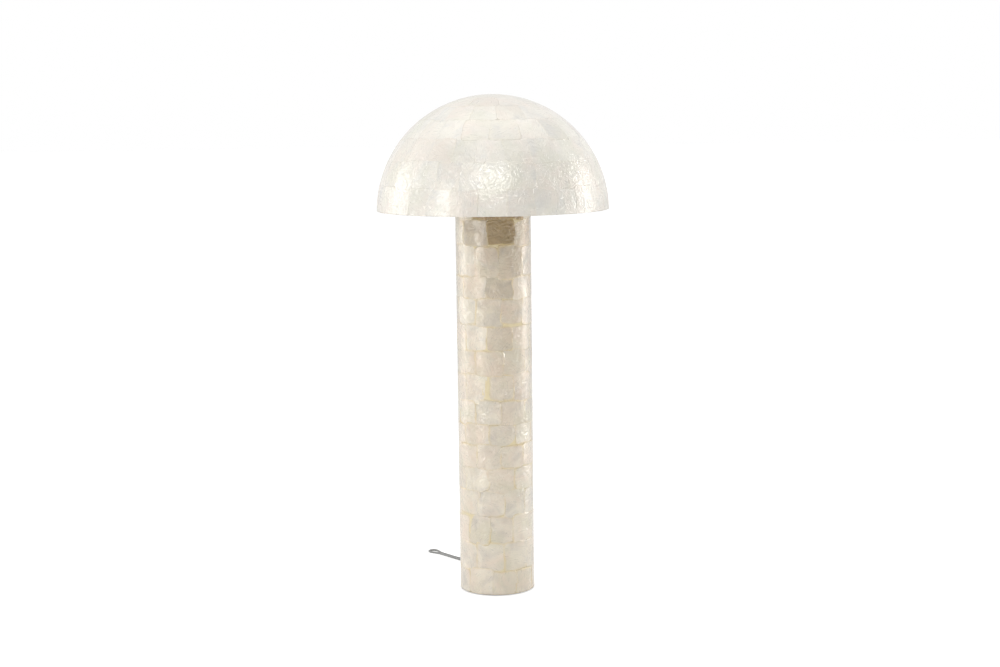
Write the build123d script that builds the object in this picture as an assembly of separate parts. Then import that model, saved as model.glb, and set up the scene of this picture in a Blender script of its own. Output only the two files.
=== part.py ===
from build123d import *
import math
import os

# Mushroom floor lamp: a shell-tiled column that carries a half-round, shell-tiled shade.
# Millimetres, +Z up. The origin is on the lamp's axis at floor level, and the front faces -Y.

# ---------------------------------------------------------------- driving dimensions
total_height = 1220.0  # floor to the crown of the shade
clearance = 0.3  # gap between pieces that are set loosely or bonded
thread_gap = 0.15  # radial gap between the threaded pipe and what is screwed on it

# Shell work, on the column and on the shade alike
shell_thickness = 1.2  # one layer of cut shell with its lacquer
shell_bond = 0.3  # resin line between the shell and its core
shell_seam = 0.8  # open seam between neighbouring pieces
shell_width = 62.0  # usual width of one cut piece
seam_drift = 0.07  # how far a hand-cut edge strays, as a share of its piece

# Column
column_radius = 92.5  # outer face of the shell
column_core_wall = 3.0  # moulded tube behind the shell
tube_above_rim = 40.5  # how far the tube reaches up into the shade
# Heights of the courses from the floor up, repeated as far as the tube reaches
column_course_heights = [61, 65, 68, 65, 56, 55, 52, 57, 64, 63, 59, 63, 55, 75, 62]
last_course_share = 1.5  # the highest course takes what is left, up to this share of its height
plate_thickness = 3.0  # steel plate that closes the tube
plate_spigot = 3.0  # depth of the plate's locating step inside the tube

# Base
felt_thickness = 2.0
felt_inset = 5.0  # felt edge behind the foot flange's edge
foot_flange = 3.0  # rim of the iron weight, under the tube
weight_depth = 32.0  # iron inside the tube
counterbore_radius = 13.0
counterbore_depth = 12.0
cord_channel_width = 14.0
cord_channel_reach = 24.0  # how near the axis the channel comes
cord_exit_height = 22.0

# Threaded pipe through the whole lamp, with its nuts and washers
pipe_radius = 5.0
pipe_bore = 3.5
pipe_low = 4.0
pipe_above_hub = 9.0
nut_across_flats = 17.0
nut_height = 5.0
washer_radius = 11.0
washer_thickness = 1.6
lock_nuts_under_shade = 2

# Shade
shade_radius = 282.5  # outer face of the shell
rim_rise = 4.0  # the rim stops this far above the sphere's centre
shade_core_wall = 3.5
shade_courses = 7  # the highest one closes the crown
crown_piece_radius = 17.0  # single round piece at the pole
spider_below_crown = 54.0  # height of the spokes, measured down from the crown
spider_wire = 2.5  # radius of the ring's wire
spoke_radius = 2.0
spoke_angles = [90, 210, 330]
hub_radius = 8.0
hub_flange_radius = 14.0
hub_flange = 3.0
hub_height = 16.0
hub_foot = 6.0  # spokes above the hub's lower face
glide_washer_radius = 13.0
glide_washer_thickness = 2.0
patch_count = 6
patch_angle = 20.0  # each strap's length around the ring
patch_half_width = 3.0  # degrees of the dome above and below the ring
patch_cover = 1.7  # laminate over the ring's wire

# Lamp holders and bulbs
holder_spread = 42.0  # each holder's distance from the axis
holder_radius = 19.5
holder_height = 41.0
holder_floor = 12.0
holder_bore = 14.2
shell_cup_wall = 0.6  # brass screw shell
shell_cup_floor = 2.0
nipple_length = 18.0
nipple_head = 4.0
nipple_head_radius = 8.0
nipple_bore = 3.5
cap_radius = 13.0
cap_height = 27.0
cap_shoulder = 6.0  # height at which the cap reaches its full radius
# The cap's contact and insulator: (radius, height above the tip)
cap_tip_outline = [(0, 0), (4.5, 0), (5.0, 1.5), (9.0, 4.0)]
bulb_height = 108.0  # cap tip to the glass's crown
bulb_radius = 30.0
bulb_neck_radius = 14.2
glass_wall = 1.0

# Wiring inside
block_width = 26.0
block_depth = 16.0
block_height = 12.0
block_back = 45.0  # terminal block's distance behind the axis
lead_wire_diameter = 2.2

# Mains cord and what is on it
cord_diameter = 5.0
cord_hole_radius = 6.0
relief_flange_radius = 8.5
relief_flange = 2.5
relief_length = 29.0
relief_root_radius = 5.4
relief_tip_radius = 3.7
relief_bore = 2.8
relief_inside = 2.0  # how far the bush reaches in past the tube's wall
arc_share = 0.45  # part of the shorter run that an arc may take
switch_length = 70.0
switch_width = 32.0
switch_base_height = 10.0
switch_cover_height = 7.0
switch_wall = 2.0
button_radius = 10.6
button_flange = 2.0  # how far the retaining flange stands out
button_flange_height = 3.2
button_proud = 4.0
button_travel = 3.0
mechanism_length = 22.0
mechanism_width = 14.0
coil_centre = (28.3, 315.0)
coil_mean_radius = 27.0
coil_layers = 4
coil_layer_turns = 2.25
coil_pitch = 5.55
coil_layer_step = 5.6
coil_start_angle = 280.0
tie_thickness = 0.8
tie_width = 8.0
tie_corner = 1.6  # inside corner of the strap
tie_angle = 22.0
plug_length = 36.0
plug_width = 25.0
plug_height = 16.0
plug_neck = 22.0
plug_neck_radius = 5.6
plug_neck_wall = 1.2  # of the neck where the cord goes in
plug_corner = 4.0
blade_length = 16.0
blade_spread = 12.7
blade_thickness = 1.5
blade_widths = (6.3, 7.9)

# The cord from its exit to the foot switch, laid by hand: out of the strain relief, down to the
# floor, away to the left as photographed, round a narrow bend and close beside itself back
# behind the column.
lead_route = [
    (0, 121.8, 22),
    (0, 147, 22),
    (-20, 174, 12),
    (-47, 199, 2.5),
    (-84, 236, 2.5),
    (-122.2, 282.3, 2.5),
    (-159.2, 327, 2.5),
    (-175.3, 334.4, 2.5),
    (-184.3, 345.3, 2.5),
    (-183.4, 354.5, 2.5),
    (-176.3, 360.5, 2.5),
    (-167, 359.6, 2.5),
    (-158, 348.7, 2.5),
    (-153.8, 331.5, 2.5),
    (-116.8, 286.8, 2.5),
    (-102.8, 269.8, 2.5),
    (-91.3, 255.9, 5),
    (-71.6, 259.4, 5),
]
# Between the coil and the plug
plug_route_middle = [(-16.3, 356.8, 15.5), (-15.3, 377.8, 11.5), (0.6, 388.6, 8), (20.2, 382.7, 8)]
# Inside the column: first heights above the floor, then depths below the terminal block
inner_route_low = [(0, 50, 22), (0, 33, 66), (0, 30, 150), (7, 33, 330)]
inner_route_high = [(-5, 36, 447), (5, 40, 247), (0, 45, 67)]

# ---------------------------------------------------------------- sizes that follow
sphere_z = total_height - shade_radius
rim_z = sphere_z + rim_rise
column_top = rim_z + tube_above_rim
column_core_radius = column_radius - shell_thickness - shell_bond
column_bore = column_core_radius - column_core_wall
foot_top = felt_thickness + foot_flange
plate_top = column_top + plate_thickness
plate_under = column_top - plate_spigot
shade_core_radius = shade_radius - shell_thickness - shell_bond
shade_bore = shade_core_radius - shade_core_wall
spider_z = total_height - spider_below_crown
ring_distance = shade_bore - clearance - spider_wire
ring_radius = math.sqrt(ring_distance**2 - (spider_z - sphere_z) ** 2)
hub_low = spider_z - hub_foot
pipe_top = hub_low + hub_height + pipe_above_hub
holder_bore_low = plate_top + holder_floor
cap_low = holder_bore_low + shell_cup_floor + clearance
cord_radius = cord_diameter / 2
relief_tip_y = column_radius + clearance + relief_length

ON_FLOOR = (Align.CENTER, Align.CENTER, Align.MIN)


# ---------------------------------------------------------------- helpers
def rod(radius, low, high):
    """A round bar about the lamp's axis."""
    return Pos(0, 0, low) * Cylinder(radius, high - low, align=ON_FLOOR)


def tube(outer, inner, low, high):
    """A tube or washer about the lamp's axis."""
    return rod(outer, low, high) - rod(inner, low - 1, high + 1)


def turned(outline):
    """A solid turned about the lamp's axis from points (radius, height)."""
    return revolve(Plane.XZ * make_face(Polyline(*outline, close=True)), Axis.Z)


def on_dome(radius, elevation):
    """A point (radius, height) of the dome's section, elevation in degrees above the centre."""
    angle = math.radians(elevation)
    return (radius * math.cos(angle), sphere_z + radius * math.sin(angle))


def dome_section(outer, inner, low, high):
    """The face between two arcs about the dome's centre, from one elevation to another."""
    middle = (low + high) / 2
    outside = ThreePointArc(on_dome(outer, low), on_dome(outer, middle), on_dome(outer, high))
    inside = ThreePointArc(on_dome(inner, high), on_dome(inner, middle), on_dome(inner, low))
    top = Line(on_dome(outer, high), on_dome(inner, high))
    bottom = Line(on_dome(inner, low), on_dome(outer, low))
    return Plane.XZ * make_face([outside, top, inside, bottom])


def elevation_at(radius, height):
    """Elevation in degrees at which a sphere of that radius reaches a height."""
    return math.degrees(math.asin((height - sphere_z) / radius))


def heading(start, end):
    """The unit direction from one point to another."""
    return (Vector(*end) - Vector(*start)).normalized()


def step_from(point, direction, distance):
    """A point that lies a distance along a direction."""
    moved = Vector(*point) + direction * distance
    return (moved.X, moved.Y, moved.Z)


def corner_radii(route):
    """The arc at each corner: as large as the two runs beside it leave room for."""
    radii = []
    for before, corner, after in zip(route, route[1:], route[2:]):
        arriving = Vector(*corner) - Vector(*before)
        leaving = Vector(*after) - Vector(*corner)
        half_turn = math.radians(arriving.get_angle(leaving)) / 2
        shorter = min(arriving.length, leaving.length)
        radii.append(arc_share * shorter / math.tan(half_turn))
    return radii


def laid_tube(name, route, diameter):
    """A round cord along straight runs joined by tangent arcs."""
    radii = corner_radii(route)
    path = FilletPolyline(*route, radius=radii)
    start = Plane(origin=route[0], z_dir=heading(route[0], route[1]))
    solid = sweep(start * Circle(diameter / 2), path=path)
    section = math.pi * diameter**2 / 4
    share = solid.volume / (section * path.length)
    shown = " ".join(f"{radius:.0f}" for radius in radii)
    print(f"{name}: length {path.length:.1f}, volume {share:.4f} of section times length, radii {shown}")
    return solid, path.length


def write(name, solids):
    """Write one sub-part, which may be a group of separate solids."""
    pieces = []
    for shape in solids:
        pieces.extend(shape.solids())
    shape = pieces[0] if len(pieces) == 1 else Compound(pieces)
    shape.label = name
    export_step(shape, f"parts/{name}.step")


def cord_hole():
    """The round cut through the column's wall at the rear, for the strain relief."""
    hole = Cylinder(cord_hole_radius, column_radius)
    return Pos(0, column_radius, cord_exit_height) * Rot(90, 0, 0) * hole


# ---------------------------------------------------------------- shell work
def edge_drift(index, course):
    """The small, repeatable stray of a hand-cut edge, as a share of one piece."""
    return seam_drift * math.sin(5.1 * index + 2.3 * course)


def shell_course(section, radius, count, course):
    """The separate pieces of shell in one course, with an open seam between neighbours."""
    pitch = 360 / count
    stagger = 0.5 * (course % 2)
    edges = [(index + stagger + edge_drift(index, course)) * pitch for index in range(count)]
    edges.append(edges[0] + 360)
    seam = math.degrees(shell_seam / radius)
    pieces = []
    for start, end in zip(edges, edges[1:]):
        piece = revolve(section, Axis.Z, revolution_arc=end - start - seam)
        pieces.append(Rot(0, 0, start + seam / 2) * piece)
    return pieces


def pieces_around(radius):
    """How many pieces of the usual width go round a circle."""
    return max(3, round(2 * math.pi * radius / shell_width))


def column_seams():
    """Heights of the seams between courses, laid from the floor flange up to the tube's top."""
    seams = [felt_thickness]
    height = column_course_heights[0]
    while seams[-1] + last_course_share * height < column_top:
        seams.append(seams[-1] + height)
        height = column_course_heights[(len(seams) - 1) % len(column_course_heights)]
    seams.append(column_top)
    return seams


def column_shell_courses():
    """The column's courses of shell, each a group of separate pieces."""
    seams = column_seams()
    inner = column_core_radius + shell_bond
    for course, (low, high) in enumerate(zip(seams, seams[1:]), start=1):
        bottom = low if course == 1 else low + shell_seam / 2
        top = high if high == column_top else high - shell_seam / 2
        corners = [(inner, bottom), (column_radius, bottom), (column_radius, top), (inner, top)]
        section = Plane.XZ * make_face(Polyline(*corners, close=True))
        pieces = shell_course(section, column_radius, pieces_around(column_radius), course)
        if bottom < cord_exit_height < top:
            pieces = [piece - cord_hole() for piece in pieces]
        write(f"column_shell_course_{course:02d}", pieces)


def shade_shell_courses():
    """The shade's courses of shell, from the rim up, with a round piece at the crown."""
    inner = shade_core_radius + shell_bond
    rim = elevation_at(shade_radius, rim_z)
    crown = 90 - math.degrees(crown_piece_radius / shade_radius)
    step = (90 - rim) / shade_courses
    half_seam = math.degrees(shell_seam / shade_radius) / 2
    for course in range(1, shade_courses + 1):
        low = rim + (course - 1) * step + (half_seam if course > 1 else 0)
        high = rim + course * step - half_seam
        if course == shade_courses:
            high = crown - half_seam
        around = shade_radius * math.cos(math.radians((low + high) / 2))
        section = dome_section(shade_radius, inner, low, high)
        pieces = shell_course(section, around, pieces_around(around), course)
        if course == shade_courses:
            cap = dome_section(shade_radius, inner, crown + half_seam, 90)
            pieces.append(revolve(cap, Axis.Z))
        write(f"shade_shell_course_{course:02d}", pieces)


# ---------------------------------------------------------------- base and column
def base_felt_pad():
    return rod(column_core_radius - felt_inset, 0, felt_thickness)


def base_weight_plate():
    """Iron weight: a flange under the tube and a plug inside it, with a channel for the cord."""
    weight_top = foot_top + weight_depth
    plug_radius = column_bore - clearance
    iron = turned(
        [
            (pipe_radius + thread_gap, felt_thickness + counterbore_depth),
            (counterbore_radius, felt_thickness + counterbore_depth),
            (counterbore_radius, felt_thickness),
            (column_core_radius, felt_thickness),
            (column_core_radius, foot_top),
            (plug_radius, foot_top),
            (plug_radius, weight_top),
            (pipe_radius + thread_gap, weight_top),
        ]
    )
    channel_low = cord_exit_height - cord_hole_radius - clearance
    channel = Pos(0, cord_channel_reach, channel_low) * Box(
        cord_channel_width,
        column_radius,
        weight_depth,
        align=(Align.CENTER, Align.MIN, Align.MIN),
    )
    return iron - channel


def column_core():
    """Moulded tube with the rear hole for the cord."""
    return tube(column_core_radius, column_bore, foot_top, column_top) - cord_hole()


def column_top_plate():
    """Steel plate on the tube, with a locating step and holes for the pipe and two holders."""
    plate = rod(column_core_radius, column_top, plate_top)
    plate += rod(column_bore - clearance, plate_under, column_top)
    plate -= rod(pipe_radius + thread_gap, plate_under - 1, plate_top + 1)
    for side in (-1, 1):
        plate -= Pos(side * holder_spread, 0, 0) * rod(
            pipe_radius + thread_gap, plate_under - 1, plate_top + 1
        )
    return plate


def hex_nut(low):
    """A hexagonal nut on the threaded pipe."""
    corner_radius = nut_across_flats / math.sqrt(3)
    body = Pos(0, 0, low) * extrude(RegularPolygon(corner_radius, 6), nut_height)
    return body - rod(pipe_radius + thread_gap, low - 1, low + nut_height + 1)


def nut_levels():
    """Lower faces of the pipe's nuts: under the weight, on the plate, and under the shade."""
    under_weight = felt_thickness + counterbore_depth - washer_thickness - nut_height
    on_plate = plate_top + washer_thickness
    shade_rest = hub_low - glide_washer_thickness
    rest = [shade_rest - (index + 1) * nut_height for index in range(lock_nuts_under_shade)]
    return [under_weight, on_plate] + rest


def washer_levels():
    return [felt_thickness + counterbore_depth - washer_thickness, plate_top]


def pipe_washer(low):
    return tube(washer_radius, pipe_radius + thread_gap, low, low + washer_thickness)


# ---------------------------------------------------------------- lamp holders and bulbs
def lamp_holder():
    """Porcelain holder body: open cup above, threaded for its nipple below."""
    top = plate_top + holder_height
    nipple_top = plate_under + nipple_length - clearance
    body = rod(holder_radius, plate_top, top)
    body -= rod(holder_bore, holder_bore_low, top + 1)
    body -= rod(nipple_bore, plate_top - 1, holder_bore_low + 1)
    body -= rod(pipe_radius + thread_gap, plate_top - 1, nipple_top)
    return body


def screw_shell():
    """Brass cup inside the holder, which takes the bulb's cap."""
    outer = holder_bore - clearance
    top = plate_top + holder_height - clearance
    cup = rod(outer, holder_bore_low, top)
    return cup - rod(outer - shell_cup_wall, holder_bore_low + shell_cup_floor, top + 1)


def holder_nipple():
    """Hollow threaded stub with a hexagonal head, up through the plate into the holder."""
    top = plate_under + nipple_length - 2 * clearance
    head = Pos(0, 0, plate_under - nipple_head) * extrude(
        RegularPolygon(nipple_head_radius, 6), nipple_head
    )
    stub = head + rod(pipe_radius, plate_under, top)
    return stub - rod(nipple_bore, plate_under - nipple_head - 1, top + 1)


def bulb_cap():
    """Screw cap with its insulated tip."""
    outline = [(radius, cap_low + height) for radius, height in cap_tip_outline]
    outline += [
        (cap_radius, cap_low + cap_shoulder),
        (cap_radius, cap_low + cap_height),
        (0, cap_low + cap_height),
    ]
    return turned(outline)


def glass_outline(radius, neck):
    """Half section of the bulb's outside: neck, tangent shoulder and round crown."""
    low = cap_low + cap_height
    centre = cap_low + bulb_height - bulb_radius
    reach = math.hypot(neck, centre - low)
    lean = math.acos(radius / reach)
    toward_neck = math.atan2(low - centre, neck)
    shoulder = toward_neck + lean
    touch = (radius * math.cos(shoulder), centre + radius * math.sin(shoulder))
    middle = (shoulder + math.pi / 2) / 2
    belly = (radius * math.cos(middle), centre + radius * math.sin(middle))
    crown = (0, centre + radius)
    return [
        Line((0, low), (neck, low)),
        Line((neck, low), touch),
        ThreePointArc(touch, belly, crown),
        Line(crown, (0, low)),
    ]


def bulb_glass():
    """Hollow opal glass, standing on its cap."""
    outside = revolve(Plane.XZ * make_face(glass_outline(bulb_radius, bulb_neck_radius)), Axis.Z)
    hollow = glass_outline(bulb_radius - glass_wall, bulb_neck_radius - glass_wall)
    return outside - revolve(Plane.XZ * make_face(hollow), Axis.Z)


# ---------------------------------------------------------------- shade
def shade_core():
    """Moulded half-round shell behind the shade's shell work."""
    outer_low = elevation_at(shade_core_radius, rim_z)
    inner_low = elevation_at(shade_bore, rim_z)
    outer_middle = (outer_low + 90) / 2
    inner_middle = (inner_low + 90) / 2
    edges = [
        ThreePointArc(
            on_dome(shade_core_radius, outer_low),
            on_dome(shade_core_radius, outer_middle),
            (0, sphere_z + shade_core_radius),
        ),
        Line((0, sphere_z + shade_core_radius), (0, sphere_z + shade_bore)),
        ThreePointArc(
            (0, sphere_z + shade_bore),
            on_dome(shade_bore, inner_middle),
            on_dome(shade_bore, inner_low),
        ),
        Line(on_dome(shade_bore, inner_low), on_dome(shade_core_radius, outer_low)),
    ]
    return revolve(Plane.XZ * make_face(edges), Axis.Z)


def shade_spider():
    """Welded ring, three spokes and a hub that drops over the pipe."""
    hub = rod(hub_radius, hub_low, hub_low + hub_height)
    hub += rod(hub_flange_radius, hub_low, hub_low + hub_flange)
    for angle in spoke_angles:
        spoke = Plane(origin=(0, 0, spider_z), z_dir=(1, 0, 0)) * Cylinder(
            spoke_radius, ring_radius, align=ON_FLOOR
        )
        hub += Rot(0, 0, angle) * spoke
    hub -= rod(pipe_radius + clearance, hub_low - 1, hub_low + hub_height + 1)
    return hub + Pos(0, 0, spider_z) * Torus(ring_radius, spider_wire)


def shade_bond_patches():
    """Laminate straps that hold the ring to the inside of the dome."""
    middle = elevation_at(ring_distance, spider_z)
    inner = ring_distance - spider_wire - clearance - patch_cover
    outer = shade_bore - clearance
    section = dome_section(outer, inner, middle - patch_half_width, middle + patch_half_width)
    strap = revolve(section, Axis.Z, revolution_arc=patch_angle)
    strap -= Pos(0, 0, spider_z) * Torus(ring_radius, spider_wire + clearance)
    pitch = 360 / patch_count
    return [Rot(0, 0, index * pitch - patch_angle / 2) * strap for index in range(patch_count)]


def shade_glide_washer():
    low = hub_low - glide_washer_thickness
    return tube(glide_washer_radius, pipe_radius + clearance, low, hub_low)


# ---------------------------------------------------------------- wiring inside
def terminal_block():
    return Pos(0, block_back, plate_under) * Box(
        block_width, block_depth, block_height, align=(Align.CENTER, Align.CENTER, Align.MAX)
    )


def holder_wire():
    """Twin wire from the block's side, round and up through the right-hand nipple."""
    height = plate_under - block_height / 2
    wire_top = holder_bore_low - clearance
    route = [
        (block_width / 2, block_back, height),
        (block_width / 2 + 12, block_back, height),
        (holder_spread - 4, block_back - 18, height - 10),
        (holder_spread, 9, height - 16),
        (holder_spread, 0, height - 8),
        (holder_spread, 0, height + 4),
        (holder_spread + 0.4, 0, wire_top),
    ]
    return laid_tube("holder_wire", route, lead_wire_diameter)[0]


def cord_inside():
    """The mains cord inside the lamp, from the relief's tip up to the terminal block."""
    start = (0, relief_tip_y, cord_exit_height)
    block_face = plate_under - block_height
    upper = [(x, y, block_face - depth) for x, y, depth in inner_route_high]
    route = [start] + inner_route_low + upper + [(0, block_back, block_face)]
    return laid_tube("cord_inside", route, cord_diameter)[0]


def cord_strain_relief():
    """Bush through the column's wall with a flange and a tapered spout."""
    wall_in = column_bore - relief_inside
    flange_in = column_radius + clearance
    outline = [
        (relief_bore, wall_in),
        (cord_hole_radius - clearance, wall_in),
        (cord_hole_radius - clearance, flange_in),
        (relief_flange_radius, flange_in),
        (relief_flange_radius, flange_in + relief_flange),
        (relief_root_radius, flange_in + relief_flange),
        (relief_tip_radius, relief_tip_y),
        (relief_bore, relief_tip_y),
    ]
    return Pos(0, 0, cord_exit_height) * Rot(-90, 0, 0) * turned(outline)


# ---------------------------------------------------------------- foot switch
switch_in = lead_route[-1]
switch_way = heading(lead_route[-2], lead_route[-1])
switch_out = step_from(switch_in, switch_way, switch_length)
switch_frame = Plane(
    origin=step_from((switch_in[0], switch_in[1], 0), switch_way, switch_length / 2),
    x_dir=switch_way,
    z_dir=(0, 0, 1),
)
cover_under = switch_base_height + switch_cover_height - switch_wall
button_flange_top = cover_under - clearance
button_low = button_flange_top - button_flange_height


def switch_block(inset, low, high):
    """A round-cornered block on the switch's outline, inset all round."""
    length = switch_length - 2 * inset
    width = switch_width - 2 * inset
    plan = RectangleRounded(length, width, width / 3)
    return Pos(0, 0, low) * extrude(plan, high - low)


def foot_switch_base():
    cavity = switch_block(switch_wall, switch_wall, switch_base_height + 1)
    return switch_frame * (switch_block(0, 0, switch_base_height) - cavity)


def foot_switch_cover():
    """Upper shell with the button's hole."""
    top = switch_base_height + switch_cover_height
    cover = switch_block(0, switch_base_height, top)
    edge = cover.edges().group_by(Axis.Z)[-1]
    cover = fillet(edge, switch_wall)
    cover -= switch_block(switch_wall, switch_base_height - 1, cover_under)
    cover -= rod(button_radius + clearance, switch_base_height, top + 1)
    return switch_frame * cover


def foot_switch_mechanism():
    """Push-push block on the base, just clear of the pressed button."""
    height = button_low - button_travel - clearance - switch_wall
    block = Box(mechanism_length, mechanism_width, height, align=ON_FLOOR)
    return switch_frame * Pos(0, 0, switch_wall) * block


def foot_switch_button():
    """Round button, held under the cover by its flange."""
    top = switch_base_height + switch_cover_height + button_proud
    stem = rod(button_radius, button_low, top)
    stem = fillet(stem.edges().group_by(Axis.Z)[-1], button_proud / 3)
    return switch_frame * (stem + rod(button_radius + button_flange, button_low, button_flange_top))


# ---------------------------------------------------------------- coil, tie and plug
coil_low = tie_thickness + clearance + cord_radius  # height of the lowest layer's middle
coil_outer = coil_mean_radius + coil_pitch * coil_layer_turns / 2
coil_turns = coil_layers * coil_layer_turns + (coil_layers - 1) / 2


def coil_state(turn):
    """Radius and height after so many turns, each with its rate per turn.

    Layers spiral in and out in turn at a steady rate. Between two layers the cord takes half a
    turn to reverse, and climbs one layer meanwhile.
    """
    stretch = coil_layer_turns + 0.5
    layer = min(int(turn / stretch + 1e-9), coil_layers - 1)
    along = turn - layer * stretch
    inward = layer % 2 == 0
    way = -1 if inward else 1
    start = coil_outer if inward else coil_outer - coil_pitch * coil_layer_turns
    height = coil_low + layer * coil_layer_step
    if along <= coil_layer_turns + 1e-9:
        return start + way * coil_pitch * along, height, way * coil_pitch, 0.0
    past = along - coil_layer_turns
    turning = start + way * coil_pitch * coil_layer_turns
    radius = turning + way * coil_pitch * (past - 2 * past**2)
    rate = way * coil_pitch * (1 - 4 * past)
    climb = coil_layer_step * (1 - math.cos(2 * math.pi * past)) / 2
    climb_rate = coil_layer_step * math.pi * math.sin(2 * math.pi * past)
    return radius, height + climb, rate, climb_rate


def coil_knot(turn):
    """Point and direction of the coil's middle line after so many turns."""
    radius, height, rate, climb_rate = coil_state(turn)
    angle = math.radians(coil_start_angle) + 2 * math.pi * turn
    cosine = math.cos(angle)
    sine = math.sin(angle)
    point = Vector(coil_centre[0] + radius * cosine, coil_centre[1] + radius * sine, height)
    direction = Vector(
        rate * cosine - 2 * math.pi * radius * sine,
        rate * sine + 2 * math.pi * radius * cosine,
        climb_rate,
    )
    return point, direction.normalized()


def biarc(start, start_way, end, end_way):
    """Two arcs that meet smoothly, between two points with given directions."""
    span = end - start
    together = start_way + end_way
    apart = 2 * (1 - start_way.dot(end_way))
    along = span.dot(together)
    reach = (-along + math.sqrt(along**2 + apart * span.dot(span))) / apart
    first = start + start_way * reach
    second = end - end_way * reach
    meeting = (first + second) * 0.5
    return [
        TangentArc(start, meeting, tangent=start_way),
        TangentArc(meeting, end, tangent=second - first),
    ]


def coil_ends():
    """Where the coil's straight ends begin and stop, with their directions."""
    first, first_way = coil_knot(0)
    last, last_way = coil_knot(coil_turns)
    start = first - first_way * cord_diameter
    end = last + last_way * cord_diameter
    return start, first_way, end, last_way


def cord_coil():
    """The spare cord, wound as one unbroken tube."""
    start, first_way, end, last_way = coil_ends()
    knots = [coil_knot(index / 4) for index in range(round(4 * coil_turns) + 1)]
    edges = [Line(start, knots[0][0])]
    for (point, way), (next_point, next_way) in zip(knots, knots[1:]):
        edges += biarc(point, way, next_point, next_way)
    edges.append(Line(knots[-1][0], end))
    path = Wire(edges)
    solid = sweep(Plane(origin=start, z_dir=first_way) * Circle(cord_radius), path=path)
    share = solid.volume / (math.pi * cord_radius**2 * path.length)
    samples = [edge @ (part / 8) for edge in edges for part in range(8)]
    apart = 12
    least = min(
        (one - other).length
        for index, one in enumerate(samples)
        for other in samples[index + apart :]
    )
    gap = least - cord_diameter
    print(f"cord_coil: length {path.length:.1f}, volume {share:.4f}, least gap {gap:.2f}")
    return solid, path.length


def cord_tie():
    """Flat strap closed round the coil's turns."""
    turning = coil_outer - coil_pitch * coil_layer_turns
    inner = turning - coil_pitch / 8 - cord_radius - 2 * clearance
    outer = coil_outer + coil_pitch / 8 + cord_radius + clearance
    top = coil_low + (coil_layers - 1) * coil_layer_step + cord_radius + clearance
    width = outer - inner
    height = top - tie_thickness
    outer_corner = tie_corner + tie_thickness
    loop = RectangleRounded(width + 2 * tie_thickness, height + 2 * tie_thickness, outer_corner)
    loop -= RectangleRounded(width, height, tie_corner)
    strap = extrude(loop, tie_width / 2, both=True)
    angle = math.radians(tie_angle)
    away = Vector(math.cos(angle), math.sin(angle), 0)
    middle = step_from((*coil_centre, tie_thickness + height / 2), away, (inner + outer) / 2)
    across = Vector(-math.sin(angle), math.cos(angle), 0)
    return Plane(origin=middle, x_dir=away, z_dir=across * -1) * strap


def plug_pieces(route):
    """Two-blade plug on the end of its cord: the moulded body and the blades."""
    frame = Plane(origin=route[-1], x_dir=heading(route[-2], route[-1]), z_dir=(0, 0, 1))
    neck = Cone(cord_radius + plug_neck_wall, plug_neck_radius, plug_neck, align=ON_FLOOR)
    body = Pos(plug_neck + plug_length / 2, 0, 0) * Box(plug_length, plug_width, plug_height)
    body = fillet(body.edges().filter_by(Axis.X), plug_corner)
    face = plug_neck + plug_length
    blades = []
    for side, width in zip((-1, 1), blade_widths):
        blade = Pos(face + blade_length / 2, side * blade_spread / 2, 0) * Box(
            blade_length, blade_thickness, width
        )
        blades.append(frame * blade)
    return frame * (body + Plane.YZ * neck), blades


def cord_pieces():
    """The free cord from the strain relief to its plug, and what is on it."""
    start, first_way, end, last_way = coil_ends()
    coil_in = (start.X, start.Y, start.Z)
    coil_out = (end.X, end.Y, end.Z)
    link_route = [
        switch_out,
        step_from(switch_out, switch_way, 10),
        step_from(coil_in, first_way, -10),
        coil_in,
    ]
    plug_route = [coil_out, step_from(coil_out, last_way, 13)] + plug_route_middle
    lead, lead_length = laid_tube("cord_lead", lead_route, cord_diameter)
    link, link_length = laid_tube("cord_link", link_route, cord_diameter)
    tail, tail_length = laid_tube("cord_plug_end", plug_route, cord_diameter)
    coil, coil_length = cord_coil()
    total = lead_length + switch_length + link_length + coil_length + tail_length
    print(f"free cord: {total:.1f} from the strain relief to the plug")
    write("cord_lead", [lead])
    write("cord_link", [link])
    write("cord_plug_end", [tail])
    write("cord_coil", [coil])
    write("cord_tie", [cord_tie()])
    body, blades = plug_pieces(plug_route)
    write("plug_body", [body])
    write("plug_blades", blades)


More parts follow.
